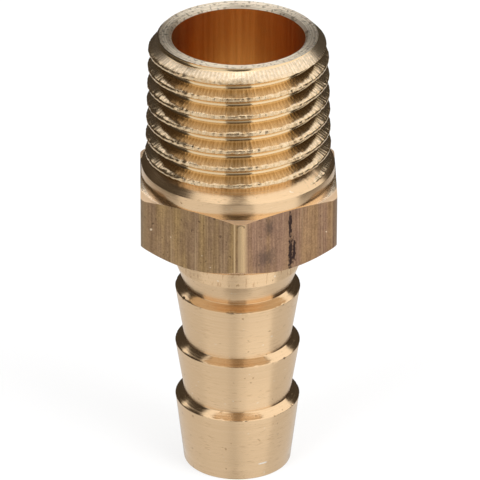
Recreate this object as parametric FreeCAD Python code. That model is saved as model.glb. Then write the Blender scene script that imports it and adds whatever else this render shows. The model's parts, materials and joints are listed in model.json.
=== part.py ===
"""Brass hose barb tail: a male taper pipe thread, a hexagon and three hose barbs,
turned from one piece of hexagon bar and bored through.

Units are millimetres. The tail stands on the end of its barbs: the origin is the
centre of that end, +Z runs up the bore to the threaded end, and one corner of the
hexagon faces -Y.
"""
import math
import os

import FreeCAD
import Part

# Pipe thread, 19 threads to the inch on a 1 in 16 taper
threads_per_inch = 19.0
thread_pitch = 25.4 / threads_per_inch
gauge_diameter = 13.157
gauge_length = 6.0
thread_depth = 0.856
thread_taper = 1.0 / 16.0
flank_half_angle = 27.5
crest_flat_share = 1.0 / 6.0

# How the thread starts and runs out
thread_length = 10.0
end_face_land = 0.115
end_chamfer_angle = 45.0
run_out_angle = 38.0
first_root_depth = 0.05

# Hexagon, and the plain collar above it
hex_across_flats = 14.0
hex_height = 4.65
hex_corner_radius = 0.9
hex_top_chamfer_angle = 11.5
hex_bottom_chamfer_angle = 36.5
collar_relief = 0.075
collar_height = 0.9

# Hose barbs
barb_edge_diameter = 9.05
barb_rise = 0.645
barb_shoulder_height = 0.39
barb_cone_length = 4.04
barb_count = 3
end_barb_length = 5.2
end_barb_taper = 0.625
tip_rounding = 0.12

# Neck between the hexagon and the first barb
neck_relief = 0.045
neck_length = 2.4
neck_cone_length = 1.62

# Bore, wide under the thread and narrow under the barbs
thread_wall = 0.785
bore_mouth_chamfer = 0.2
bore_step_above_neck = 2.25
bore_step_angle = 59.0
barb_wall = 0.88
tip_bore_chamfer = 0.25

# How far a cutting tool reaches past the surface it opens
tool_clearance = 1.0

# Heights worked out from the sizes above, from the barb end upwards
barb_pitch = barb_shoulder_height + barb_cone_length
barb_edges = [end_barb_length + number * barb_pitch for number in range(barb_count)]
first_valley_height = barb_edges[-1] + barb_shoulder_height
neck_height = first_valley_height + neck_cone_length
hex_bottom = neck_height + neck_length
hex_top = hex_bottom + hex_height
collar_top = hex_top + collar_height
total_height = collar_top + thread_length
gauge_height = total_height - gauge_length
radius_per_height = thread_taper / 2.0


def crest_radius(height):
    """Radius of the thread's crests at a height, which grows towards the hexagon."""
    return gauge_diameter / 2.0 + (gauge_height - height) * radius_per_height


def root_radius(height):
    """Radius of the thread's roots at a height."""
    return crest_radius(height) - thread_depth


def polygon_face(outline):
    """A flat face in the XZ plane from (radius, height) corners."""
    corners = [FreeCAD.Vector(radius, 0.0, height) for radius, height in outline]
    return Part.Face(Part.makePolygon(corners + corners[:1]))


def revolve(face):
    """Turn a face of the XZ plane once round the Z axis."""
    return face.revolve(FreeCAD.Vector(0, 0, 0), FreeCAD.Vector(0, 0, 1), 360.0)


def turned_tail():
    """Neck and barbs as one turned profile, with the small round at the tip."""
    edge_radius = barb_edge_diameter / 2.0
    valley_radius = edge_radius - barb_rise
    neck_radius = edge_radius - neck_relief
    outline = [(0.0, 0.0), (edge_radius - end_barb_taper, 0.0)]
    for edge_height in barb_edges:
        outline.append((edge_radius, edge_height))
        outline.append((valley_radius, edge_height + barb_shoulder_height))
    outline.append((neck_radius, neck_height))
    outline.append((neck_radius, hex_bottom + tool_clearance))
    outline.append((0.0, hex_bottom + tool_clearance))
    tail = revolve(polygon_face(outline))
    tip_edges = [edge for edge in tail.Edges
                 if abs(edge.BoundBox.ZMax) < 1e-6 and edge.BoundBox.XMax > 1.0]
    return tail.makeFillet(tip_rounding, tip_edges)


def hexagon():
    """Hexagon bar with rounded corners, chamfered by a cone at its top and bottom."""
    half_flats = hex_across_flats / 2.0
    corner_radius = half_flats / math.cos(math.radians(30.0))
    points = []
    for number in range(6):
        angle = math.radians(-90.0 + 60.0 * number)
        points.append(FreeCAD.Vector(corner_radius * math.cos(angle),
                                     corner_radius * math.sin(angle), hex_bottom))
    bar = Part.Face(Part.makePolygon(points + points[:1]))
    bar = bar.extrude(FreeCAD.Vector(0, 0, hex_height))
    corners = [edge for edge in bar.Edges if edge.BoundBox.ZLength > hex_height / 2.0]
    bar = bar.makeFillet(hex_corner_radius, corners)
    reach = corner_radius + tool_clearance
    top_drop = (reach - half_flats) * math.tan(math.radians(hex_top_chamfer_angle))
    bottom_rise = (reach - half_flats) * math.tan(math.radians(hex_bottom_chamfer_angle))
    envelope = revolve(polygon_face([
        (0.0, hex_bottom),
        (half_flats, hex_bottom),
        (reach, hex_bottom + bottom_rise),
        (reach, hex_top - top_drop),
        (half_flats, hex_top),
        (0.0, hex_top),
    ]))
    return bar.common(envelope)


def thread_spigot():
    """The tapered spigot that the thread is cut on, chamfered at its end."""
    end_radius = root_radius(total_height) + end_face_land
    chamfer_slope = math.tan(math.radians(end_chamfer_angle))
    chamfer_width = crest_radius(total_height) - end_radius
    chamfer_width /= 1.0 - radius_per_height * chamfer_slope
    chamfer_bottom = total_height - chamfer_width * chamfer_slope
    return revolve(polygon_face([
        (0.0, hex_top),
        (crest_radius(hex_top), hex_top),
        (crest_radius(chamfer_bottom), chamfer_bottom),
        (end_radius, total_height),
        (0.0, total_height),
    ]))


def collar():
    """Plain collar, and the cone that the die leaves where the thread runs out."""
    outer = hex_across_flats / 2.0 - collar_relief
    inner = root_radius(collar_top)
    rise = (outer - inner) * math.tan(math.radians(run_out_angle))
    return revolve(polygon_face([
        (0.0, hex_top - hex_height / 2.0),
        (outer, hex_top - hex_height / 2.0),
        (outer, collar_top),
        (inner, collar_top + rise),
        (0.0, collar_top + rise),
    ]))


def groove_section(root_height):
    """Section of the thread groove, on the +X side: two flanks and a flat root.

    The flats at crest and root are as wide as the standard form's rounded ones are
    at the same depth. The section reaches past the crests by less than the crest
    flats are wide, so that the turns of the groove stay apart.
    """
    flank_slope = math.tan(math.radians(flank_half_angle))
    crest_flat = thread_pitch * crest_flat_share
    reach = crest_flat / 4.0 / flank_slope
    crest = crest_radius(root_height)
    root = root_radius(root_height)
    half_crest = (thread_pitch - crest_flat) / 2.0
    half_outer = half_crest + reach * flank_slope
    half_root = half_crest - thread_depth * flank_slope
    outline = [
        (crest + reach, half_outer),
        (root, half_root),
        (root, -half_root),
        (crest + reach, -half_outer),
    ]
    corners = [FreeCAD.Vector(radius, 0.0, root_height + height) for radius, height in outline]
    return Part.makePolygon(corners + corners[:1])


def thread_groove():
    """The right-hand helical groove as a solid, from inside the collar to past the end."""
    turns_past_end = 1
    turns_to_collar = math.ceil((thread_length - first_root_depth) / thread_pitch)
    start_height = total_height - first_root_depth - turns_to_collar * thread_pitch
    length = (turns_to_collar + turns_past_end) * thread_pitch
    half_apex = math.degrees(math.atan(radius_per_height))
    helix = Part.makeLongHelix(thread_pitch, length, root_radius(start_height), -half_apex)
    helix.translate(FreeCAD.Vector(0, 0, start_height))
    groove = helix.makePipeShell([groove_section(start_height)], True, True)
    groove.rotate(FreeCAD.Vector(0, 0, 0), FreeCAD.Vector(0, 0, 1), -90.0)
    return groove


def bore():
    """Stepped bore with a drill-point step between its two sizes."""
    wide = root_radius(total_height) - thread_wall
    narrow = barb_edge_diameter / 2.0 - barb_rise - barb_wall
    step_top = hex_bottom + bore_step_above_neck
    step_bottom = step_top - (wide - narrow) / math.tan(math.radians(bore_step_angle))
    return revolve(polygon_face([
        (0.0, -tool_clearance),
        (narrow + tip_bore_chamfer + tool_clearance, -tool_clearance),
        (narrow, tip_bore_chamfer),
        (narrow, step_bottom),
        (wide, step_top),
        (wide, total_height - bore_mouth_chamfer),
        (wide + bore_mouth_chamfer + tool_clearance, total_height + tool_clearance),
        (0.0, total_height + tool_clearance),
    ]))


def hose_barb_tail():
    """The whole tail as one solid."""
    spigot = thread_spigot().cut(thread_groove())
    body = spigot.fuse([collar(), hexagon(), turned_tail()])
    body = body.cut(bore())
    return body.removeSplitter()


def main():
    os.makedirs("parts", exist_ok=True)
    tail = hose_barb_tail()
    print("solids", len(tail.Solids), "valid", tail.isValid(), "volume mm3", round(tail.Volume, 2))
    tail.Solids[0].exportStep("parts/hose_barb_tail.step")


main()
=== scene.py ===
"""Looks of the brass hose barb tail: turned, threaded, drawn and bored brass.

Sizes are millimetres and angles degrees, in the part's own frame. Azimuth 0 is the
front, where one corner of the hexagon points, and grows towards +X. Pieces are
modelled in millimetres and brought to metres when they are finished.
"""
import json
import math

import bpy
from mathutils import Matrix, Vector, noise


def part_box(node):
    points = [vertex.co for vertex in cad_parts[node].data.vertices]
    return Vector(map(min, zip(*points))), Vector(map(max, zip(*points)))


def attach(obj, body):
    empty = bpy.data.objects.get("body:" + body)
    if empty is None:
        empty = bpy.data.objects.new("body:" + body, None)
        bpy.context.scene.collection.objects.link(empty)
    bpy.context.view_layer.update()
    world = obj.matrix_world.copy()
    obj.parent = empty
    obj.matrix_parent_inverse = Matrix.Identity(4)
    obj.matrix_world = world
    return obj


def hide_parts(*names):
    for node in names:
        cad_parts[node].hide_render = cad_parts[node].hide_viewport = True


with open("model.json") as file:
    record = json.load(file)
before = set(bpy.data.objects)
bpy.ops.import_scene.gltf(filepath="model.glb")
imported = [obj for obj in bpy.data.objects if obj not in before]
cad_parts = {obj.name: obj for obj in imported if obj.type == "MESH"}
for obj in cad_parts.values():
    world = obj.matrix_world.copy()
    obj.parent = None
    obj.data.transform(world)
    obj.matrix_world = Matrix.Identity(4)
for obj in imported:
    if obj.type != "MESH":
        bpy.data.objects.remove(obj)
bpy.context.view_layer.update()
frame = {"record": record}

MILLIMETRE = 0.001

# Sizes that the frame gives
mounts = {mount["name"]: mount for mount in frame["record"]["mounts"]}
tail_low, tail_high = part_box("hose_barb_tail")
total_height = tail_high.z / MILLIMETRE
hex_across_flats = (tail_high.x - tail_low.x) / MILLIMETRE
wide_bore_radius = mounts["thread_bore"]["dims"]["r_mm"]
narrow_bore_radius = mounts["barb_bore"]["dims"]["r_mm"]
gauge_height = mounts["taper_thread"]["pos_m"][2] / MILLIMETRE
end_barb_edge_height = mounts["hose_barbs"]["pos_m"][2] / MILLIMETRE

# Thread
threads_per_inch = 19.0
thread_pitch = 25.4 / threads_per_inch
gauge_radius = 13.157 / 2.0
thread_depth = 0.856
taper_slope = 1.0 / 32.0
flank_angle = 27.5
crest_flat_share = 1.0 / 6.0
root_rounding = 0.184
crest_rounding = 0.12
first_root_depth = 0.05
thread_length = 10.0
end_face_radius = 5.65
bore_mouth_chamfer = 0.2
run_out_angle = 38.0

# Hexagon and collar
hex_height = 4.65
hex_corner_radius = 0.9
hex_top_chamfer_angle = 11.5
hex_bottom_chamfer_angle = 36.5
collar_radius = 6.925
collar_height = 0.9
collar_rounding = 0.04

# Barbs and neck
barb_edge_radius = 4.525
barb_valley_radius = 3.88
barb_shoulder_height = 0.39
barb_cone_length = 4.04
barb_count = 3
barb_rounding = 0.025
tip_radius = 3.9
tip_rounding = 0.12
neck_radius = 4.48
neck_cone_length = 1.62
neck_rounding = 0.2
bore_step_above_neck = 2.25
bore_step_angle = 59.0
tip_bore_chamfer = 0.25

# Heights worked out from these sizes
barb_pitch = barb_shoulder_height + barb_cone_length
barb_edges = [end_barb_edge_height + number * barb_pitch for number in range(barb_count)]
collar_top = total_height - thread_length
hex_top = collar_top - collar_height
hex_bottom = hex_top - hex_height
neck_height = barb_edges[-1] + barb_shoulder_height + neck_cone_length

# How far pieces reach into or past each other before they are joined or cut
overlap = 1.0
core_inset = 0.3
blank_drop = 0.3
blank_reach = 0.5

# Torn crests of the thread, whose scales lie side by side all the way round
torn_depth = 0.36
torn_outline_depths = (0.34, 0.2)
scale_count = 67
rib_count = 134
first_flank_height = 0.95
scale_gap_depth = 0.035
scale_gap_share = 0.16
grain_depth = 0.045
grain_fineness = 3.6
crest_nick_depth = 0.14
crest_nick_fineness = 2.9
crest_nick_shift = Vector((0.0, 0.0, 5.0))
wander_fineness = 4.0
wander_shift = Vector((9.0, 0.0, 0.0))

# Small nicks in the edges of the barbs, and the noise that has to be passed to make a nick
edge_nick_depth = 0.045
edge_nick_reach = 0.12
edge_nick_fade = 0.9 * edge_nick_reach
edge_nick_fineness = 3.1
nick_rarity = 0.3

# Rubbed strips along the corners of the hexagon, worn and with a painted highlight: first and
# last degree, last edge's softness
worn_and_highlit_strips = [(-3.2, -2.4, 0.3), (-1.0, 3.0, 1.7)]
worn_and_highlit_first_softness = 0.3

# A small dented arch at the top of the front corner, in degrees and in height
arch_middle = (0.4, 22.68)
arch_half_size = (1.8, 0.22)

# A scratch near the end of the lowest barb, painted near-white as a highlight: azimuth, height,
# half width, half height
scratch_and_highlight_mark = (26.4, 1.24, 4.2, 0.06)

# Flaws in the hexagon's right front face: across the face, height, half width, half height
seam_marks = [
    (0.11, 21.95, 0.13, 0.85),
    (0.14, 19.6, 0.15, 1.2),
    (0.44, 19.9, 0.12, 0.85),
]
smudge_marks = [
    (-1.63, 22.2, 0.3, 0.5),
    (-1.88, 19.85, 0.6, 0.55),
]

# Two tall panels that the metal mirrors at the front, each dimmer in a pool at its foot
left_pool_level = 0.7
left_panel_level = 0.8
left_pool_rise = (-50.0, -27.0)
right_pool_level = 0.8
right_panel_level = 1.0
right_pool_rise = (-48.0, -36.0)
panel_meeting = 8.0
panel_edge = 75.0

# How softly the panels, the canopy and the table end, in degrees either way
edge_softness = 3.0

# The dark slit between the panels: (first elevation, last elevation, share of light kept then)
slit_middle = -1.5
slit_half_width = 18.0
slit_low_softness = 9.0
slit_high_softness = 1.0
slit_sharpening = (-50.0, -32.0)
slit_foot_share = 0.92
slit_changes = [
    (-36.0, -10.0, 0.35),
    (0.0, 30.0, 0.06),
    (62.0, 72.0, 0.35),
    (74.0, 82.0, 1.0),
]

# The bright canopy above: (first azimuth, last azimuth, elevation of its lower edge then)
left_canopy_start = 33.0
left_canopy_changes = [
    (-133.0, -127.0, 58.0),
    (-84.0, -76.0, 50.0),
]
right_canopy_start = 34.0
right_canopy_changes = [
    (85.0, 100.0, 24.0),
    (124.0, 132.0, 34.0),
]
canopy_crossing = -0.45

# Levels of light of the canopy, and of its front quarters and the zenith
canopy_level = 1.1
left_canopy_level = 0.75
left_high_level = 1.15
left_high_rise = (56.0, 64.0)
right_canopy_level = 1.15
front_canopy_edge = 90.0
front_canopy_softness = 10.0
front_canopy_meeting = 5.0
zenith_level = 1.5
zenith_rise = (76.0, 82.0)

# The bright band behind, between two elevations, and the azimuth where it starts
back_band = (36.0, 45.0)
back_band_softness = 2.0
back_band_level = 4.4
back_band_edge = 168.0
back_band_edge_softness = 6.0

# The pale table all round, darker close under the front, and the dark of the room
table_edge = -22.0
table_level = 0.68
foot_share = 0.45
foot_fall = (-66.0, -60.0)
foot_sides = (35.0, 50.0)
dark_level = 0.06
warm_shade = (1.0, 0.86, 0.70, 1.0)
warm_levels = (0.05, 0.5)

# A dark strip just over the collar's height, in front, that the thread's flanks mirror
strip_level = 0.46
strip_height = 24.05
strip_near = 8.25
strip_far = 19.5
strip_middle = -0.5
strip_near_half_width = 1.3
strip_far_half_width = 5.4

# White floor, whose size is in metres
floor_size = 4.0
floor_paper_level = 0.9
floor_glow_share = 0.7

# Two soft lamps, in metres and watts
lamp_places = {"lamp_left": (-0.25, -0.25, 0.35), "lamp_right": (0.25, -0.2, 0.35)}
lamp_size = 0.25
lamp_watts = 1.2
lamp_aim = Vector((0.0, 0.0, 0.015))

# Camera, a little left of the front corner and looking down
camera_distance = 420.0
camera_elevation = 27.43
camera_turn_left = 1.11
camera_roll = 0.191
camera_target = Vector((0.152, 0.0, 17.659))
sensor_width = 36.0
focal_pixels = 5830.9
image_pixels = 480.0

# How finely round things are divided
turned_steps = 288
thread_steps = 360
turns_down = 9
hex_corner_steps = 10
arc_steps = 6
small_arc_steps = 3
small_rounding = 0.15
smooth_angle = 28.0
merge_distance = 0.0005


# Modelling

def deselect_all():
    bpy.ops.object.select_all(action="DESELECT")


def select_only(piece):
    """Make one object the only one that operators act on."""
    deselect_all()
    piece.select_set(True)
    bpy.context.view_layer.objects.active = piece


def draw_outline(name, points):
    """A new object whose edges join (radius, height) points in the XZ plane, as drawn."""
    deselect_all()
    bpy.ops.mesh.primitive_plane_add(size=1.0)
    piece = bpy.context.object
    piece.name = name
    bpy.ops.object.mode_set(mode="EDIT")
    bpy.ops.mesh.merge(type="CENTER")
    bpy.ops.transform.translate(value=(points[0][0], 0.0, points[0][1]))
    for start, end in zip(points, points[1:]):
        step = (end[0] - start[0], 0.0, end[1] - start[1])
        bpy.ops.mesh.extrude_region_move(TRANSFORM_OT_translate={"value": step})
    bpy.ops.object.mode_set(mode="OBJECT")
    return piece


def clean_up(piece):
    """Merge doubled points and turn every face outwards."""
    select_only(piece)
    bpy.ops.object.mode_set(mode="EDIT")
    bpy.ops.mesh.select_all(action="SELECT")
    bpy.ops.mesh.remove_doubles(threshold=merge_distance)
    bpy.ops.mesh.normals_make_consistent(inside=False)
    bpy.ops.object.mode_set(mode="OBJECT")


def rounded(corners):
    """Points of an outline, with an arc at each corner that has a rounding."""
    points = [Vector(corners[0][:2])]
    for before, corner, after in zip(corners, corners[1:], corners[2:]):
        here = Vector(corner[:2])
        rounding = corner[2] if len(corner) > 2 else 0.0
        if not rounding:
            points.append(here)
            continue
        towards_before = (Vector(before[:2]) - here).normalized()
        towards_after = (Vector(after[:2]) - here).normalized()
        half_angle = towards_before.angle(towards_after) / 2.0
        tangent_length = rounding / math.tan(half_angle)
        bisector = (towards_before + towards_after).normalized()
        centre = here + bisector * (rounding / math.sin(half_angle))
        first = (here + towards_before * tangent_length - centre).normalized()
        last = (here + towards_after * tangent_length - centre).normalized()
        steps = arc_steps if rounding > small_rounding else small_arc_steps
        for number in range(steps + 1):
            points.append(centre + first.slerp(last, number / steps) * rounding)
    points.append(Vector(corners[-1][:2]))
    return [tuple(point) for point in points]


def turn(name, corners):
    """Turn an outline of (radius, height, rounding) corners once round the Z axis."""
    piece = draw_outline(name, rounded(corners))
    bpy.ops.object.mode_set(mode="EDIT")
    bpy.ops.mesh.select_all(action="SELECT")
    bpy.ops.mesh.spin(steps=turned_steps, angle=math.tau, center=(0, 0, 0), axis=(0, 0, 1))
    bpy.ops.object.mode_set(mode="OBJECT")
    clean_up(piece)
    return piece


def combine(piece, tool, operation):
    """Cut, join or intersect a piece with another, which is used up."""
    modifier = piece.modifiers.new("combine", "BOOLEAN")
    modifier.operation = operation
    modifier.solver = "EXACT"
    modifier.material_mode = "TRANSFER"
    modifier.object = tool
    select_only(piece)
    bpy.ops.object.modifier_apply(modifier=modifier.name)
    bpy.data.objects.remove(tool)


def finish_with(piece, material):
    """Add a material to those that a piece has."""
    piece.data.materials.append(material)


def nick_at(place):
    """How deep a nick goes at a place: 0 nearly everywhere."""
    return max(0.0, noise.noise(place) - nick_rarity)


def turned_part():
    """Barbs, neck, collar and run-out cone as one solid of revolution."""
    root_at_collar = gauge_radius - thread_depth + (gauge_height - collar_top) * taper_slope
    run_out_rise = (collar_radius - root_at_collar) * math.tan(math.radians(run_out_angle))
    core_radius = root_at_collar - core_inset
    corners = [(0.0, 0.0), (tip_radius, 0.0, tip_rounding)]
    cone_slope = (barb_edge_radius - barb_valley_radius) / barb_cone_length
    shoulder_slope = (barb_edge_radius - barb_valley_radius) / barb_shoulder_height
    below = edge_nick_reach
    above = edge_nick_reach / 2.0
    for height in barb_edges:
        corners.append((barb_edge_radius - 2.0 * below * cone_slope, height - 2.0 * below))
        corners.append((barb_edge_radius - below * cone_slope, height - below))
        corners.append((barb_edge_radius, height, barb_rounding))
        corners.append((barb_edge_radius - above * shoulder_slope, height + above))
        corners.append((barb_edge_radius - 2.0 * above * shoulder_slope, height + 2.0 * above))
        corners.append((barb_valley_radius, height + barb_shoulder_height, barb_rounding))
    corners += [
        (neck_radius, neck_height, neck_rounding),
        (neck_radius, hex_bottom + overlap),
        (collar_radius, hex_bottom + 2.0 * overlap),
        (collar_radius, collar_top, collar_rounding),
        (root_at_collar, collar_top + run_out_rise),
        (core_radius, collar_top + run_out_rise),
        (core_radius, total_height - overlap),
        (0.0, total_height - overlap),
    ]
    piece = turn("turned_part", corners)
    nick_edges(piece)
    finish_with(piece, turned_finish)
    return piece


def nick_edges(piece):
    """Press small nicks into the sharp edges of the barbs."""
    for vertex in piece.data.vertices:
        place = vertex.co
        radius = math.hypot(place.x, place.y)
        from_edge = min(math.hypot(radius - barb_edge_radius, place.z - height)
                        for height in barb_edges)
        near = max(0.0, 1.0 - from_edge / edge_nick_fade)
        nick = nick_at(place * edge_nick_fineness) * edge_nick_depth / nick_rarity
        scale = 1.0 - near * nick / max(radius, edge_nick_reach)
        vertex.co = (place.x * scale, place.y * scale, place.z)


def hexagon():
    """Hexagon bar with rounded corners, chamfered by a cone at its top and bottom."""
    half_flats = hex_across_flats / 2.0
    corner_distance = half_flats / math.cos(math.radians(30.0))
    deselect_all()
    bpy.ops.mesh.primitive_cylinder_add(
        vertices=6, radius=corner_distance, depth=hex_height + overlap,
        location=(0.0, 0.0, hex_bottom + hex_height / 2.0))
    bar = bpy.context.object
    bar.name = "hexagon"
    bpy.ops.object.transform_apply(location=True, rotation=True, scale=True)
    bpy.ops.object.mode_set(mode="EDIT")
    bpy.ops.mesh.select_mode(type="EDGE")
    bpy.ops.mesh.select_all(action="DESELECT")
    bpy.ops.object.mode_set(mode="OBJECT")
    for side in bar.data.edges:
        ends = [bar.data.vertices[index].co for index in side.vertices]
        side.select = abs(ends[0].z - ends[1].z) > hex_height / 2.0
    bpy.ops.object.mode_set(mode="EDIT")
    tangent_length = hex_corner_radius * math.tan(math.radians(30.0))
    bpy.ops.mesh.bevel(offset=tangent_length, segments=hex_corner_steps, profile=0.5,
                       affect="EDGES")
    bpy.ops.mesh.select_mode(type="VERT")
    bpy.ops.object.mode_set(mode="OBJECT")
    reach = corner_distance + overlap
    top_drop = (reach - half_flats) * math.tan(math.radians(hex_top_chamfer_angle))
    bottom_rise = (reach - half_flats) * math.tan(math.radians(hex_bottom_chamfer_angle))
    envelope = turn("hexagon_envelope", [
        (0.0, hex_bottom),
        (half_flats, hex_bottom),
        (reach, hex_bottom + bottom_rise),
        (reach, hex_top - top_drop),
        (half_flats, hex_top),
        (0.0, hex_top),
    ])
    finish_with(bar, drawn_finish)
    finish_with(envelope, chamfered_finish)
    combine(bar, envelope, "INTERSECT")
    return bar


def thread_outline():
    """One pitch of the thread's section at the gauge plane, from root up to root."""
    quarter_turn = 0.25  # The outline lies beside the front, where each root is this much higher
    slope = math.tan(math.radians(flank_angle))
    half_crest = thread_pitch * crest_flat_share / 2.0
    sharp_root_radius = gauge_radius - (thread_pitch / 2.0 - half_crest) / slope
    start_height = total_height - first_root_depth - (turns_down - quarter_turn) * thread_pitch
    middle = start_height + thread_pitch / 2.0
    torn_points = [(gauge_radius - inward, half_crest + inward * slope)
                   for inward in torn_outline_depths]
    corners = [
        (gauge_radius, middle + half_crest - thread_pitch),
        (sharp_root_radius, start_height, root_rounding),
        *[(radius, middle - rise) for radius, rise in torn_points],
        (gauge_radius, middle - half_crest, crest_rounding),
        (gauge_radius, middle),
        (gauge_radius, middle + half_crest, crest_rounding),
        *[(radius, middle + rise) for radius, rise in reversed(torn_points)],
        (sharp_root_radius, start_height + thread_pitch, root_rounding),
        (gauge_radius, middle - half_crest + thread_pitch),
    ]
    margin = 2.0 * merge_distance
    return [point for point in rounded(corners)
            if start_height - margin < point[1] < start_height + thread_pitch + margin]


def close_end(piece, is_end):
    """Close one open end of the thread with a fan of faces that meet near the axis."""
    select_only(piece)
    bpy.ops.object.mode_set(mode="EDIT")
    bpy.ops.mesh.select_mode(type="VERT")
    bpy.ops.mesh.select_all(action="DESELECT")
    bpy.ops.mesh.select_non_manifold()
    bpy.ops.object.mode_set(mode="OBJECT")
    for vertex in piece.data.vertices:
        vertex.select = vertex.select and is_end(vertex.co.z)
    for line in piece.data.edges:
        line.select = line.select and all(piece.data.vertices[i].select for i in line.vertices)
    bpy.ops.object.mode_set(mode="EDIT")
    bpy.ops.mesh.extrude_region_move(TRANSFORM_OT_translate={"value": (0.0, 0.0, 0.0)})
    bpy.ops.mesh.merge(type="CENTER")
    bpy.ops.object.mode_set(mode="OBJECT")


def scale_gap(place):
    """How deep in the gap between two scales of the torn crest a place is, from 0 to 1."""
    azimuth = math.atan2(place.x, -place.y)
    phase = azimuth / math.tau * scale_count
    from_gap = abs((phase + 0.5) % 1.0 - 0.5)
    return max(0.0, 1.0 - from_gap / scale_gap_share)


def taper_and_tear(piece):
    """Give the thread its taper, and the torn, scaly crests of a dull die."""
    for vertex in piece.data.vertices:
        place = vertex.co.copy()
        radius = math.hypot(place.x, place.y)
        if radius < gauge_radius - 2.0 * thread_depth:
            continue
        below_crest = gauge_radius - radius
        torn = max(0.0, 1.0 - below_crest / torn_depth)
        grain = 0.5 + 0.5 * noise.noise(place * grain_fineness)
        nick = nick_at(place * crest_nick_fineness + crest_nick_shift) * crest_nick_depth
        inward = torn * (nick + grain_depth * grain + scale_gap_depth * scale_gap(place))
        growth = (gauge_height - place.z) * taper_slope
        scale = (radius + growth - inward) / radius
        wander = torn * grain_depth * noise.noise(place * wander_fineness + wander_shift)
        vertex.co = (place.x * scale, place.y * scale, place.z + wander)


def thread_blank():
    """The blank that the thread is cut on: its end face, chamfer and lower end."""
    outer = gauge_radius + (gauge_height - collar_top) * taper_slope + blank_reach
    return turn("thread_blank", [
        (0.0, collar_top - blank_drop),
        (outer, collar_top - blank_drop),
        (outer, total_height - (outer - end_face_radius)),
        (end_face_radius, total_height),
        (0.0, total_height),
    ])


def thread():
    """The threaded spigot as a closed solid, cut to its blank."""
    piece = draw_outline("thread", thread_outline())
    screw = piece.modifiers.new("thread", "SCREW")
    screw.axis = "Z"
    screw.angle = math.tau
    screw.screw_offset = thread_pitch
    screw.iterations = turns_down
    screw.steps = thread_steps
    screw.render_steps = thread_steps
    bpy.ops.object.modifier_apply(modifier=screw.name)
    clean_up(piece)
    middle = total_height - thread_length / 2.0
    close_end(piece, lambda height: height < middle)
    close_end(piece, lambda height: height > middle)
    clean_up(piece)
    taper_and_tear(piece)
    finish_with(piece, threaded_finish)
    blank = thread_blank()
    finish_with(blank, faced_finish)
    finish_with(blank, threaded_finish)
    for face in blank.data.polygons:
        if face.center.z < total_height - merge_distance:
            face.material_index = 1
    combine(piece, blank, "INTERSECT")
    return piece


def bore():
    """The stepped bore as a solid to cut with, past both ends."""
    step_top = hex_bottom + bore_step_above_neck
    step_drop = (wide_bore_radius - narrow_bore_radius) / math.tan(math.radians(bore_step_angle))
    piece = turn("bore", [
        (0.0, -overlap),
        (narrow_bore_radius + tip_bore_chamfer + overlap, -overlap),
        (narrow_bore_radius, tip_bore_chamfer),
        (narrow_bore_radius, step_top - step_drop),
        (wide_bore_radius, step_top),
        (wide_bore_radius, total_height - bore_mouth_chamfer),
        (wide_bore_radius + bore_mouth_chamfer + overlap, total_height + overlap),
        (0.0, total_height + overlap),
    ])
    finish_with(piece, bored_finish)
    finish_with(piece, faced_finish)
    for face in piece.data.polygons:
        if face.center.z > total_height - bore_mouth_chamfer:
            face.material_index = 1
    return piece


def hose_barb_tail():
    """The whole tail as one closed mesh, in metres."""
    piece = turned_part()
    combine(piece, hexagon(), "UNION")
    combine(piece, thread(), "UNION")
    combine(piece, bore(), "DIFFERENCE")
    piece.name = "turned_tail"
    piece.data.name = "turned_tail"
    select_only(piece)
    piece.scale = (MILLIMETRE, MILLIMETRE, MILLIMETRE)
    bpy.ops.object.transform_apply(location=True, rotation=True, scale=True)
    bpy.ops.object.shade_smooth_by_angle(angle=math.radians(smooth_angle))
    return piece


# Shader building

def connect(tree, socket, value):
    """Feed a socket from another socket, or set its value."""
    if isinstance(value, bpy.types.NodeSocket):
        tree.links.new(value, socket)
    else:
        socket.default_value = value


def calculate(tree, operation, *values, kind="ShaderNodeMath"):
    """One step of arithmetic, whose result can be fed on."""
    step = tree.nodes.new(kind)
    step.operation = operation
    for socket, value in zip(step.inputs, values):
        connect(tree, socket, value)
    return step.outputs[0]


def calculate_place(tree, operation, *places):
    """One step of arithmetic on places."""
    return calculate(tree, operation, *places, kind="ShaderNodeVectorMath")


def plus(tree, first, second):
    return calculate(tree, "ADD", first, second)


def minus(tree, first, second):
    return calculate(tree, "SUBTRACT", first, second)


def times(tree, first, second):
    return calculate(tree, "MULTIPLY", first, second)


def from_origin(tree, first, second):
    """How far a point is from the origin, from its two coordinates."""
    squares = plus(tree, times(tree, first, first), times(tree, second, second))
    return calculate(tree, "SQRT", squares)


def azimuth_of(tree, x, y):
    """Degrees round from the front, growing towards +X."""
    return calculate(tree, "DEGREES", calculate(tree, "ARCTAN2", x, times(tree, y, -1.0)))


def ramp(tree, value, start, end, low=0.0, high=1.0):
    """A smooth change from low to high as a value goes from start to end."""
    step = tree.nodes.new("ShaderNodeMapRange")
    step.interpolation_type = "SMOOTHSTEP"
    connect(tree, step.inputs["Value"], value)
    connect(tree, step.inputs["From Min"], start)
    connect(tree, step.inputs["From Max"], end)
    connect(tree, step.inputs["To Min"], low)
    connect(tree, step.inputs["To Max"], high)
    return step.outputs["Result"]


def fall(tree, value, start, end):
    """A smooth change from 1 to 0 as a value goes from start to end."""
    return ramp(tree, value, start, end, 1.0, 0.0)


def band(tree, value, start, end, start_softness, end_softness):
    """1 where a value lies between start and end, and 0 beyond them."""
    return times(tree, ramp(tree, value, start - start_softness, start + start_softness),
                 fall(tree, value, end - end_softness, end + end_softness))


def stepped(tree, value, level, changes):
    """A level that changes to each next one as a value passes from its start to its end."""
    total = level
    for start, end, next_level in changes:
        total = plus(tree, total, ramp(tree, value, start, end, 0.0, next_level - level))
        level = next_level
    return total


def combine_place(tree, x, y, z):
    step = tree.nodes.new("ShaderNodeCombineXYZ")
    for socket, value in zip(step.inputs, (x, y, z)):
        connect(tree, socket, value)
    return step.outputs[0]


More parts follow.
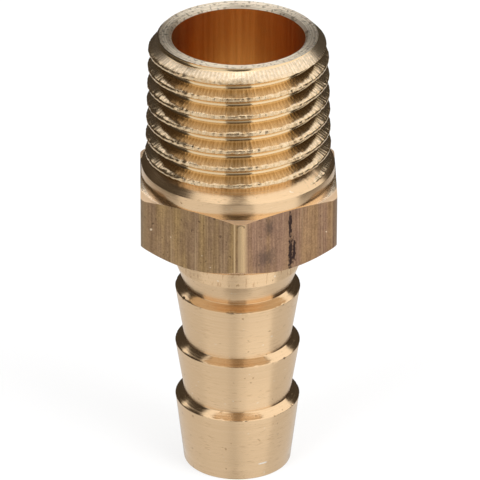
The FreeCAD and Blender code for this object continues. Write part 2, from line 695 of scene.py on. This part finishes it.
def separate_place(tree, place):
    step = tree.nodes.new("ShaderNodeSeparateXYZ")
    connect(tree, step.inputs[0], place)
    return step.outputs


def stretched(tree, place, across, along):
    """A place whose pattern is across times finer round the bar and along times along it."""
    return calculate_place(tree, "MULTIPLY", place, (across, across, along))


def noise_at(tree, place, scale, detail=2.0, roughness=0.5):
    """Smooth noise from 0 to 1 at a place."""
    texture = tree.nodes.new("ShaderNodeTexNoise")
    connect(tree, texture.inputs["Vector"], place)
    texture.inputs["Scale"].default_value = scale
    texture.inputs["Detail"].default_value = detail
    texture.inputs["Roughness"].default_value = roughness
    return texture.outputs["Fac"]


def brass(red, green, blue):
    """A colour of brass, or a tint of one, with no see-through share."""
    return (red, green, blue, 1.0)


def grey(level):
    return (level, level, level, 1.0)


def blend_colours(tree, share, first, second, blend_type="MIX"):
    step = tree.nodes.new("ShaderNodeMix")
    step.data_type = "RGBA"
    step.blend_type = blend_type
    connect(tree, step.inputs["Factor"], share)
    connect(tree, step.inputs[6], first)
    connect(tree, step.inputs[7], second)
    return step.outputs[2]


def layered(tree, colour, layers):
    """A colour with (share, colour) layers laid over it, one after the other."""
    for share, over in layers:
        colour = blend_colours(tree, share, colour, over)
    return colour


def tinted(tree, colour, share, first, second):
    """A colour multiplied by a blend of two tints."""
    return blend_colours(tree, 1.0, colour, blend_colours(tree, share, first, second), "MULTIPLY")


def use(tree, group, values=None):
    """Put a shared group into a material or group, and give its outputs."""
    node = tree.nodes.new("ShaderNodeGroup")
    node.node_tree = group
    for name, value in (values or {}).items():
        connect(tree, node.inputs[name], value)
    return node.outputs


def new_group(name, inputs, outputs, place_outputs=()):
    """An empty shader group, whose sockets hold numbers, apart from its place outputs."""
    group = bpy.data.node_groups.new(name, "ShaderNodeTree")
    for socket_name, value in inputs:
        socket = group.interface.new_socket(socket_name, in_out="INPUT",
                                            socket_type="NodeSocketFloat")
        socket.default_value = value
    for socket_name in outputs:
        group.interface.new_socket(socket_name, in_out="OUTPUT", socket_type="NodeSocketFloat")
    for socket_name in place_outputs:
        group.interface.new_socket(socket_name, in_out="OUTPUT", socket_type="NodeSocketVector")
    entry = group.nodes.new("NodeGroupInput")
    leave = group.nodes.new("NodeGroupOutput")
    return group, entry.outputs, leave.inputs


def bar_measures_group():
    """Where a point is on the bar: its place, radius, height and azimuth."""
    group, _, leave = new_group("bar_measures", [], ["Radius", "Height", "Azimuth"], ["Place"])
    coordinates = group.nodes.new("ShaderNodeTexCoord")
    place = calculate_place(group, "DIVIDE", coordinates.outputs["Object"],
                            (MILLIMETRE, MILLIMETRE, MILLIMETRE))
    x, y, z = separate_place(group, place)
    connect(group, leave["Place"], place)
    connect(group, leave["Radius"], from_origin(group, x, y))
    connect(group, leave["Height"], z)
    connect(group, leave["Azimuth"], azimuth_of(group, x, y))
    return group


def turned_lines_group():
    """Fine lines round the bar, which change along its height and radius."""
    group, entry, leave = new_group("turned_lines", [("Fineness", 7.0)], ["Lines"])
    measures = use(group, bar_measures)
    across = plus(group, measures["Height"], times(group, measures["Radius"], 1.7))
    up = combine_place(group, 0.0, 0.0, times(group, across, entry["Fineness"]))
    place = calculate_place(group, "ADD", stretched(group, measures["Place"], 0.1, 0.0), up)
    connect(group, leave["Lines"], noise_at(group, place, 1.0, 3.0, 0.6))
    return group


def specks_group():
    """Small scattered specks: a mask that is 1 in a speck and 0 elsewhere."""
    group, entry, leave = new_group(
        "specks", [("Fineness", 3.0), ("Rarity", 0.7), ("Shift", 0.0)], ["Specks"])
    measures = use(group, bar_measures)
    place = calculate_place(group, "ADD", measures["Place"],
                            combine_place(group, entry["Shift"], 0.0, 0.0))
    place = calculate_place(group, "MULTIPLY", place, entry["Fineness"])
    spots = noise_at(group, place, 1.0, 1.0, 0.5)
    limit = plus(group, entry["Rarity"], 0.05)
    connect(group, leave["Specks"], ramp(group, spots, entry["Rarity"], limit))
    return group


def flaw_group():
    """A ragged oval mark on a surface: a mask that is 1 inside it and 0 outside."""
    raggedness = 2.4
    rim = 1.0 + raggedness / 2.0
    group, entry, leave = new_group(
        "flaw", [("Across", 0.0), ("Height", 0.0), ("Middle", 0.0), ("Level", 0.0),
                 ("Half width", 1.0), ("Half height", 1.0), ("Softness", 0.2)], ["Mask"])
    squares = 0.0
    for place, middle, half_size in [("Across", "Middle", "Half width"),
                                     ("Height", "Level", "Half height")]:
        share = calculate(group, "DIVIDE", minus(group, entry[place], entry[middle]),
                          entry[half_size])
        fourth = calculate(group, "POWER", calculate(group, "ABSOLUTE", share), 4.0)
        squares = plus(group, squares, fourth)
    place = combine_place(group, times(group, entry["Across"], 7.0),
                          times(group, entry["Height"], 3.5), 0.0)
    ragged = times(group, noise_at(group, place, 1.0, 3.0, 0.65), raggedness)
    from_middle = plus(group, calculate(group, "POWER", squares, 0.25), ragged)
    inner = minus(group, rim, entry["Softness"])
    outer = plus(group, rim, entry["Softness"])
    connect(group, leave["Mask"], fall(group, from_middle, inner, outer))
    return group


def lines_round(tree, fineness):
    """The turned lines, put into a material."""
    return use(tree, turned_lines, {"Fineness": fineness})["Lines"]


def scattered(tree, fineness, rarity, shift=0.0):
    """Specks put into a material, each kind shifted to lie elsewhere."""
    return use(tree, specks, {"Fineness": fineness, "Rarity": rarity, "Shift": shift})["Specks"]


def ragged_mark(tree, across, height, mark, softness):
    """The mask of one mark, given as its middle, level, half width and half height."""
    middle, level, half_width, half_height = mark
    return use(tree, flaw, {
        "Across": across, "Height": height, "Middle": middle, "Level": level,
        "Half width": half_width, "Half height": half_height, "Softness": softness})["Mask"]


# Materials

def new_material(name, roughness, anisotropy):
    """A metal with a principled shader, lines turned round Z, and its measures."""
    material = bpy.data.materials.new(name)
    material.use_nodes = True
    tree = material.node_tree
    shader = tree.nodes["Principled BSDF"]
    shader.inputs["Metallic"].default_value = 1.0
    shader.inputs["Roughness"].default_value = roughness
    shader.inputs["Anisotropic"].default_value = anisotropy
    shader.inputs["Anisotropic Rotation"].default_value = 0.25
    if anisotropy:
        tangent = tree.nodes.new("ShaderNodeTangent")
        tangent.direction_type = "RADIAL"
        tangent.axis = "Z"
        tree.links.new(tangent.outputs[0], shader.inputs["Tangent"])
    return material, tree, shader, use(tree, bar_measures)


def bump(tree, shader, height, distance):
    """Let a height of up to 1 stand up by a distance."""
    step = tree.nodes.new("ShaderNodeBump")
    step.inputs["Distance"].default_value = distance * MILLIMETRE
    connect(tree, step.inputs["Height"], height)
    tree.links.new(step.outputs["Normal"], shader.inputs["Normal"])


def turned_brass():
    """Bright turned brass, with fine lines round it, scuffs, a few pits, and painted glints: pale
    specks in its colour that stand in for sparkles of light.
    """
    material, tree, shader, measures = new_material("turned_brass", 0.22, 0.5)
    lines = lines_round(tree, 7.0)
    pits = scattered(tree, 2.6, 0.72)
    # painted glints: pale specks in the colour that stand in for sparkles of light
    glints = scattered(tree, 3.4, 0.74, 20.0)
    scuffs = noise_at(tree, stretched(tree, measures["Place"], 1.6, 8.0), 1.0, 3.0, 0.6)
    scuffs = times(tree, ramp(tree, scuffs, 0.56, 0.68, 0.0, 0.4),
                   ramp(tree, noise_at(tree, measures["Place"], 0.6, 2.0), 0.4, 0.6))
    colour = blend_colours(tree, lines, brass(0.81, 0.56, 0.32), brass(0.94, 0.68, 0.425))
    colour = layered(tree, colour, [
        (scuffs, brass(0.56, 0.36, 0.19)),
        (times(tree, neck_marks(tree, measures), 0.45), brass(0.52, 0.30, 0.15)),
        (times(tree, pits, 0.5), brass(0.45, 0.28, 0.13)),
        # painted glint specks, pale in the colour
        (times(tree, glints, 0.6), brass(0.97, 0.86, 0.68)),
        # a real scratch with a painted highlight: near-white colour stands in for the light it
        # catches
        (ragged_mark(tree, measures["Azimuth"], measures["Height"], scratch_and_highlight_mark, 0.3),
         brass(1.0, 0.93, 0.82)),
    ])
    connect(tree, shader.inputs["Base Color"], colour)
    rough = ramp(tree, lines, 0.2, 0.8, 0.18, 0.28)
    rough = minus(tree, rough, times(tree, on_shoulder(tree, measures), 0.09))
    connect(tree, shader.inputs["Roughness"], rough)
    bump(tree, shader, minus(tree, lines, times(tree, pits, 1.5)), 0.004)
    return material


def on_shoulder(tree, measures):
    """Where a barb's shoulder is: 1 on it and 0 on the cones and the neck."""
    from_first_edge = minus(tree, measures["Height"], end_barb_edge_height)
    above_edge = calculate(tree, "WRAP", from_first_edge, barb_pitch, 0.0)
    shoulder = fall(tree, above_edge, barb_shoulder_height, barb_shoulder_height + 0.04)
    below_neck = fall(tree, measures["Height"], neck_height - 0.5, neck_height - 0.3)
    return times(tree, shoulder, below_neck)


def neck_marks(tree, measures):
    """Short upright tool marks on the plain band of the neck."""
    place = combine_place(tree, times(tree, measures["Azimuth"], 0.36),
                          times(tree, measures["Height"], 0.9), 0.0)
    marks = ramp(tree, noise_at(tree, place, 1.0, 2.0), 0.57, 0.66)
    above = ramp(tree, measures["Height"], neck_height, neck_height + 0.1)
    below = fall(tree, measures["Height"], hex_bottom, hex_bottom + 0.2)
    return times(tree, marks, times(tree, above, below))


def faced_brass():
    """Pale facing-cut brass of the end face, with rings round it and sparkling grain."""
    material, tree, shader, measures = new_material("faced_brass", 0.4, 0.95)
    lines = lines_round(tree, 12.0)
    grain = noise_at(tree, measures["Place"], 5.0, 3.0, 0.7)
    pits = scattered(tree, 4.0, 0.57, 8.0)
    glints = scattered(tree, 4.5, 0.7, 40.0)
    colour = blend_colours(tree, ramp(tree, lines, 0.35, 0.65), brass(0.66, 0.54, 0.39),
                           brass(1.0, 0.91, 0.76))
    colour = blend_colours(tree, times(tree, pits, 0.7), colour, brass(0.30, 0.23, 0.15))
    connect(tree, shader.inputs["Base Color"], colour)
    connect(tree, shader.inputs["Metallic"], minus(tree, 0.96, times(tree, glints, 0.7)))
    bump(tree, shader, plus(tree, grain, lines), 0.016)
    return material


def chamfered_brass():
    """Pale brass of the hexagon's chamfers, rougher and browner at its corners."""
    material, tree, shader, measures = new_material("chamfered_brass", 0.2, 0.0)
    grain = noise_at(tree, measures["Place"], 4.0, 3.0, 0.7)
    outside = ramp(tree, measures["Radius"], collar_radius + 0.35, collar_radius + 0.6)
    colour = blend_colours(tree, lines_round(tree, 9.0), brass(0.88, 0.68, 0.47),
                           brass(0.97, 0.80, 0.60))
    colour = blend_colours(tree, outside, colour, brass(0.74, 0.53, 0.34))
    connect(tree, shader.inputs["Base Color"], colour)
    connect(tree, shader.inputs["Roughness"], ramp(tree, outside, 0.0, 1.0, 0.18, 0.42))
    connect(tree, shader.inputs["Metallic"], ramp(tree, outside, 0.0, 1.0, 1.0, 0.75))
    bump(tree, shader, grain, 0.006)
    return material


def threaded_brass():
    """Golden smooth flanks with fine ribs across them, painted paler near the crests and on the
    first flank as painted light, and pale torn scales at the crests.
    """
    material, tree, shader, measures = new_material("threaded_brass", 0.22, 0.0)
    depth = depth_below_crest(tree, measures)
    ribs = thread_ribs(tree, measures)
    grain = noise_at(tree, measures["Place"], 4.0, 3.0, 0.65)
    ragged_depth = plus(tree, depth, times(tree, grain, 0.2))
    ragged_depth = minus(tree, ragged_depth, times(tree, ramp(tree, ribs, 0.3, 0.8), 0.14))
    torn = fall(tree, ragged_depth, 0.02, 0.3)
    in_root = ramp(tree, depth, thread_depth - 0.2, thread_depth - 0.08)
    first_flank_bottom = total_height - first_flank_height
    on_first = ramp(tree, measures["Height"], first_flank_bottom, first_flank_bottom + 0.25)
    # painted light: flanks paler near the crests and on the first flank, golden deeper in the
    # groove
    painted_light_paling = calculate(tree, "MAXIMUM", ramp(tree, depth, 0.15, 0.7, 0.8, 0.0), on_first)

    golden = blend_colours(tree, ramp(tree, ribs, 0.25, 0.75), brass(0.61, 0.405, 0.185),
                           brass(0.89, 0.66, 0.395))
    pale = blend_colours(tree, ramp(tree, ribs, 0.2, 0.9), brass(0.80, 0.61, 0.40),
                         brass(1.0, 0.83, 0.62))
    pale = tinted(tree, pale, ramp(tree, grain, 0.35, 0.65), grey(0.86), grey(1.06))
    crumbled = blend_colours(tree, ramp(tree, grain, 0.3, 0.7), brass(0.80, 0.54, 0.29),
                             brass(1.0, 0.79, 0.51))
    colour = layered(tree, golden, [
        (painted_light_paling, pale),
        (in_root, brass(0.90, 0.68, 0.41)),
        (torn, crumbled),
        # painted shade in the gaps between the torn scales
        (times(tree, shaded_gaps_of_scales(tree, measures, torn), 0.3), brass(0.36, 0.23, 0.11)),
    ])
    connect(tree, shader.inputs["Base Color"], colour)

    rough = minus(tree, 0.16, times(tree, in_root, 0.07))
    rough = plus(tree, rough, times(tree, on_first, 0.08))
    rough = plus(tree, rough, times(tree, torn, 0.1))
    connect(tree, shader.inputs["Roughness"], rough)
    unribbed = calculate(tree, "MAXIMUM", in_root, times(tree, on_first, 0.5))
    rib_height = times(tree, ribs, minus(tree, 1.0, unribbed))
    bump(tree, shader, plus(tree, rib_height, times(tree, grain, torn)), 0.008)
    return material


def depth_below_crest(tree, measures):
    """How deep a point lies under the tapered line of the thread's crests."""
    under_gauge = minus(tree, gauge_height, measures["Height"])
    crest = plus(tree, gauge_radius, times(tree, under_gauge, taper_slope))
    return minus(tree, crest, measures["Radius"])


def thread_ribs(tree, measures):
    """Fine ribs across the flanks, evenly counted round and then made uneven by noise."""
    place = combine_place(tree, times(tree, measures["Azimuth"], 0.8),
                          times(tree, measures["Radius"], 0.8),
                          times(tree, measures["Height"], 0.3))
    uneven = noise_at(tree, place, 1.0, 2.0, 0.6)
    rib_number = times(tree, measures["Azimuth"], rib_count / 360.0)
    from_rib = calculate(tree, "PINGPONG", plus(tree, rib_number, uneven), 0.5)
    return plus(tree, times(tree, uneven, 0.7), times(tree, from_rib, 0.6))


def shaded_gaps_of_scales(tree, measures, torn):
    """Painted shade in the gaps between the torn crest's scales, in patches."""
    scale_number = times(tree, measures["Azimuth"], scale_count / 360.0)
    from_gap = calculate(tree, "PINGPONG", scale_number, 0.5)
    patches = ramp(tree, noise_at(tree, measures["Place"], 1.3, 2.0), 0.38, 0.6)
    return times(tree, times(tree, fall(tree, from_gap, 0.02, 0.14), torn), patches)


def drawn_brass():
    """Brown skin of the drawn bar, streaked along it, rubbed and painted with a highlight at its
    corners.
    """
    material, tree, shader, measures = new_material("drawn_brass", 0.36, 0.0)
    place = measures["Place"]
    fine = ramp(tree, noise_at(tree, stretched(tree, place, 7.0, 0.14), 1.0, 5.0, 0.75), 0.3, 0.7)
    broad = ramp(tree, noise_at(tree, stretched(tree, place, 0.9, 0.06), 1.0, 2.0), 0.35, 0.65)
    cloudy = ramp(tree, noise_at(tree, place, 1.1, 4.0, 0.65), 0.35, 0.65)
    grit = ramp(tree, noise_at(tree, place, 8.0, 2.0, 0.6), 0.35, 0.65)
    # painted light: the left and right front faces get different tints for the different light
    # falling on each
    side = ramp(tree, measures["Azimuth"], -6.0, 6.0)
    rubbed = noise_at(tree, stretched(tree, place, 2.3, 0.03), 1.0, 2.0, 0.6)
    dirt = scattered(tree, 3.2, 0.7, 3.0)
    chips = scattered(tree, 2.4, 0.76, 31.0)
    corner = worn_and_highlit_corner(tree, measures)

    colour = blend_colours(tree, fine, brass(0.30, 0.19, 0.103), brass(0.46, 0.30, 0.17))
    colour = tinted(tree, colour, broad, brass(0.96, 0.93, 1.04), brass(1.1, 1.07, 0.95))
    colour = tinted(tree, colour, cloudy, brass(0.92, 0.91, 0.92), brass(1.07, 1.08, 1.05))
    colour = tinted(tree, colour, grit, grey(0.88), grey(1.12))
    # painted light tint, one for each front face
    colour = tinted(tree, colour, side, brass(0.99, 1.01, 0.93), brass(1.02, 0.98, 1.03))
    colour = layered(tree, colour, [
        (ramp(tree, rubbed, 0.6, 0.7, 0.0, 0.45), brass(0.66, 0.47, 0.28)),
        (times(tree, dirt, 0.6), brass(0.12, 0.07, 0.045)),
        (chips, brass(0.85, 0.68, 0.48)),
        *flaws(tree, measures, smudge_marks, 0.9, 0.65, brass(0.11, 0.075, 0.065)),
        *flaws(tree, measures, seam_marks, 0.3, 0.95, brass(0.035, 0.022, 0.022)),
        # rubbed wear with a painted highlight along the corners, strongest at the front
        (corner, brass(0.70, 0.485, 0.265)),
        (dented_arch(tree, measures), brass(0.2, 0.13, 0.07)),
    ])
    connect(tree, shader.inputs["Base Color"], colour)
    rough = minus(tree, ramp(tree, fine, 0.0, 1.0, 0.42, 0.3), times(tree, corner, 0.1))
    connect(tree, shader.inputs["Roughness"], rough)
    bump(tree, shader, fine, 0.006)
    return material


def worn_and_highlit_corner(tree, measures):
    """The bright strips along each corner of the hexagon, rubbed wear with a painted highlight,
    brightest at the front.
    """
    from_corner = calculate(tree, "WRAP", measures["Azimuth"], 30.0, -30.0)
    share = 0.0
    for first, last, softness in worn_and_highlit_strips:
        share = plus(tree, share,
                     band(tree, from_corner, first, last, worn_and_highlit_first_softness, softness))
    aside = calculate(tree, "ABSOLUTE", measures["Azimuth"])
    return times(tree, share, ramp(tree, aside, 20.0, 40.0, 1.0, 0.3))


def dented_arch(tree, measures):
    """The thin dark arch that a small dent leaves at the top of the front corner."""
    sideways = calculate(tree, "DIVIDE", minus(tree, measures["Azimuth"], arch_middle[0]),
                         arch_half_size[0])
    upwards = calculate(tree, "DIVIDE", minus(tree, measures["Height"], arch_middle[1]),
                        arch_half_size[1])
    from_line = minus(tree, from_origin(tree, sideways, upwards), 1.0)
    line = ramp(tree, calculate(tree, "ABSOLUTE", from_line), 0.1, 0.35, 0.7, 0.0)
    return times(tree, line, ramp(tree, upwards, -0.2, 0.1))


def flaws(tree, measures, marks, softness, strength, colour):
    """Layers of one colour for marks on the hexagon's right front face."""
    cosine = math.cos(math.radians(30.0))
    sine = math.sin(math.radians(30.0))
    x, y, _ = separate_place(tree, measures["Place"])
    across = plus(tree, times(tree, x, cosine), times(tree, y, sine))
    outwards = minus(tree, times(tree, x, sine), times(tree, y, cosine))
    half_flats = hex_across_flats / 2.0
    on_face = ramp(tree, outwards, half_flats - 0.5, half_flats - 0.4, 0.0, strength)
    masks = [ragged_mark(tree, across, measures["Height"], mark, softness) for mark in marks]
    return [(times(tree, mask, on_face), colour) for mask in masks]


def bored_brass():
    """Reamed brass of the bore, with streaks along it."""
    material, tree, shader, measures = new_material("bored_brass", 0.22, 0.0)
    place = combine_place(tree, times(tree, measures["Azimuth"], 0.3), 0.0,
                          times(tree, measures["Height"], 0.08))
    streaks = noise_at(tree, place, 1.0, 3.0, 0.6)
    colour = blend_colours(tree, ramp(tree, streaks, 0.3, 0.7), brass(0.83, 0.60, 0.345),
                           brass(0.96, 0.75, 0.48))
    connect(tree, shader.inputs["Base Color"], colour)
    bump(tree, shader, streaks, 0.02)
    return material


# Studio

def highest(tree, *levels):
    """The highest of several levels."""
    top = levels[0]
    for level in levels[1:]:
        top = calculate(tree, "MAXIMUM", top, level)
    return top


def dimmed(tree, level, loss):
    """A level less a share of it."""
    return times(tree, level, minus(tree, 1.0, loss))


def mirrored_panels(tree, azimuth, aside, elevation):
    """Two tall panels, left and right of the front, each dimmer at its foot."""
    left = ramp(tree, elevation, *left_pool_rise, left_pool_level, left_panel_level)
    right = ramp(tree, elevation, *right_pool_rise, right_pool_level, right_panel_level)
    side = ramp(tree, azimuth, -panel_meeting, panel_meeting)
    panels = plus(tree, times(tree, right, side), dimmed(tree, left, side))
    return times(tree, panels, fall(tree, aside, panel_edge - edge_softness,
                                    panel_edge + edge_softness))


def mirrored_canopy(tree, x, azimuth, elevation):
    """A bright canopy above, whose lower edge and level change round it."""
    left_edge = stepped(tree, azimuth, left_canopy_start, left_canopy_changes)
    right_edge = stepped(tree, azimuth, right_canopy_start, right_canopy_changes)
    edge = ramp(tree, x, canopy_crossing, 0.0, left_edge, right_edge)
    canopy = ramp(tree, elevation, minus(tree, edge, edge_softness),
                  plus(tree, edge, edge_softness))
    front_left = band(tree, azimuth, -front_canopy_edge, 0.0, front_canopy_softness,
                      front_canopy_meeting)
    front_right = band(tree, azimuth, 0.0, front_canopy_edge, front_canopy_meeting,
                       front_canopy_softness)
    left_gain = ramp(tree, elevation, *left_high_rise, left_canopy_level - canopy_level,
                     left_high_level - canopy_level)
    level = plus(tree, canopy_level, times(tree, front_left, left_gain))
    level = plus(tree, level, times(tree, front_right, right_canopy_level - canopy_level))
    return times(tree, canopy, level)


def mirrored_back_band(tree, aside, elevation):
    """A bright band low down behind."""
    behind = ramp(tree, aside, back_band_edge - back_band_edge_softness,
                  back_band_edge + back_band_edge_softness, 0.0, back_band_level)
    return times(tree, behind, band(tree, elevation, *back_band, back_band_softness,
                                    back_band_softness))


def slit_loss(tree, azimuth, elevation):
    """The share of light that the dark slit at the front takes away."""
    from_slit = calculate(tree, "ABSOLUTE", minus(tree, azimuth, slit_middle))
    softness = ramp(tree, elevation, *slit_sharpening, slit_low_softness, slit_high_softness)
    in_slit = fall(tree, from_slit, minus(tree, slit_half_width, softness),
                   plus(tree, slit_half_width, softness))
    share = stepped(tree, elevation, slit_foot_share, slit_changes)
    return dimmed(tree, in_slit, share)


def studio_world():
    """White to the camera, and a studio of table, panels, slit and canopy to the metal."""
    world = bpy.data.worlds.new("studio")
    bpy.context.scene.world = world
    world.use_nodes = True
    tree = world.node_tree
    background = tree.nodes["Background"]
    coordinates = tree.nodes.new("ShaderNodeTexCoord")
    x, y, z = separate_place(tree, coordinates.outputs["Generated"])
    elevation = calculate(tree, "DEGREES", calculate(tree, "ARCSINE", z))
    azimuth = azimuth_of(tree, x, y)
    aside = calculate(tree, "ABSOLUTE", azimuth)

    table = ramp(tree, elevation, table_edge - edge_softness, table_edge + edge_softness,
                 table_level, 0.0)
    level = highest(
        tree,
        mirrored_panels(tree, azimuth, aside, elevation),
        mirrored_canopy(tree, x, azimuth, elevation),
        mirrored_back_band(tree, aside, elevation),
        table,
        dark_level,
        ramp(tree, elevation, *zenith_rise, 0.0, zenith_level))
    level = dimmed(tree, level, slit_loss(tree, azimuth, elevation))
    under_front = times(tree, fall(tree, elevation, *foot_fall), fall(tree, aside, *foot_sides))
    level = dimmed(tree, level, times(tree, under_front, 1.0 - foot_share))

    warmth = blend_colours(tree, ramp(tree, level, *warm_levels), warm_shade, grey(1.0))
    mirrored = blend_colours(tree, 1.0, warmth, level, "MULTIPLY")
    light_path = tree.nodes.new("ShaderNodeLightPath")
    seen = blend_colours(tree, light_path.outputs["Is Camera Ray"], mirrored, grey(1.0))
    tree.links.new(seen, background.inputs["Color"])
    background.inputs["Strength"].default_value = 1.0


def mixed_material(name, make_share, first, second):
    """A material that shows a share of the second shader, and the first for the rest."""
    material = bpy.data.materials.new(name)
    material.use_nodes = True
    tree = material.node_tree
    tree.nodes.clear()
    output = tree.nodes.new("ShaderNodeOutputMaterial")
    mix = tree.nodes.new("ShaderNodeMixShader")
    connect(tree, mix.inputs[0], make_share(tree))
    for socket, (kind, colour) in zip(mix.inputs[1:], (first, second)):
        shader = tree.nodes.new(kind)
        shader.inputs["Color"].default_value = colour
        tree.links.new(shader.outputs[0], socket)
    tree.links.new(mix.outputs[0], output.inputs["Surface"])
    return material


def glow_to_camera(tree):
    """The floor's share of glow where the camera sees it, and 0 for all other rays."""
    light_path = tree.nodes.new("ShaderNodeLightPath")
    return times(tree, light_path.outputs["Is Camera Ray"], floor_glow_share)


def seen_from_below(tree):
    """1 where a flat piece is seen from below, and 0 from above."""
    sides = tree.nodes.new("ShaderNodeNewGeometry")
    return sides.outputs["Backfacing"]


def floor():
    """A white floor that keeps a soft shadow."""
    deselect_all()
    bpy.ops.mesh.primitive_plane_add(size=floor_size, location=(0.0, 0.0, 0.0))
    ground = bpy.context.object
    ground.name = "floor"
    ground.visible_glossy = False
    finish_with(ground, mixed_material(
        "white_floor", glow_to_camera, ("ShaderNodeBsdfDiffuse", grey(floor_paper_level)),
        ("ShaderNodeEmission", grey(1.0))))


def dark_strip():
    """A dark strip that only mirrored rays see, from above, to shade the thread's flanks."""
    deselect_all()
    bpy.ops.mesh.primitive_plane_add(size=1.0)
    strip = bpy.context.object
    strip.name = "dark_strip"
    for corner in strip.data.vertices:
        near = corner.co.y > 0.0
        half_width = strip_near_half_width if near else strip_far_half_width
        sideways = half_width if corner.co.x > 0.0 else -half_width
        away = strip_near if near else strip_far
        corner.co = Vector((strip_middle + sideways, -away, strip_height)) * MILLIMETRE
    finish_with(strip, mixed_material(
        "dark_strip", seen_from_below, ("ShaderNodeEmission", grey(strip_level)),
        ("ShaderNodeBsdfTransparent", grey(1.0))))
    strip.visible_camera = False
    strip.visible_diffuse = False
    strip.visible_shadow = False


def camera():
    """A long lens, a little left of the front corner and looking down."""
    elevation = math.radians(camera_elevation)
    roll = math.radians(camera_roll)
    away = Vector((0.0, -math.cos(elevation), math.sin(elevation)))
    right = Vector((1.0, 0.0, 0.0))
    up = Vector((0.0, math.sin(elevation), math.cos(elevation)))
    camera_right = right * math.cos(roll) + up * math.sin(roll)
    camera_up = up * math.cos(roll) - right * math.sin(roll)
    stance = Matrix.Rotation(-math.radians(camera_turn_left), 3, "Z")
    axes = [stance @ axis for axis in (camera_right, camera_up, away)]
    lens = bpy.data.cameras.new("camera")
    lens.sensor_width = sensor_width
    lens.lens = sensor_width * focal_pixels / image_pixels
    lens.clip_start = 0.01
    lens.clip_end = 10.0
    body = bpy.data.objects.new("camera", lens)
    bpy.context.scene.collection.objects.link(body)
    turned = Matrix(axes).transposed().to_4x4()
    place = (stance @ (camera_target + away * camera_distance)) * MILLIMETRE
    body.matrix_world = Matrix.Translation(place) @ turned
    bpy.context.scene.camera = body


def lamp(name, place):
    """A soft square lamp that lights the floor and the object from a place."""
    light = bpy.data.lights.new(name, "AREA")
    light.size = lamp_size
    light.energy = lamp_watts
    body = bpy.data.objects.new(name, light)
    bpy.context.scene.collection.objects.link(body)
    body.location = place
    body.rotation_euler = (lamp_aim - Vector(place)).to_track_quat("-Z", "Y").to_euler()
    body.visible_camera = False
    body.visible_glossy = False


bar_measures = bar_measures_group()
turned_lines = turned_lines_group()
specks = specks_group()
flaw = flaw_group()
turned_finish = turned_brass()
faced_finish = faced_brass()
chamfered_finish = chamfered_brass()
threaded_finish = threaded_brass()
drawn_finish = drawn_brass()
bored_finish = bored_brass()

tail = hose_barb_tail()
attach(tail, "root")
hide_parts("hose_barb_tail")

studio_world()
floor()
dark_strip()
camera()
for lamp_name, lamp_place in lamp_places.items():
    lamp(lamp_name, lamp_place)

scene = bpy.context.scene
scene.view_settings.view_transform = "Standard"
scene.cycles.max_bounces = 16
scene.cycles.glossy_bounces = 12
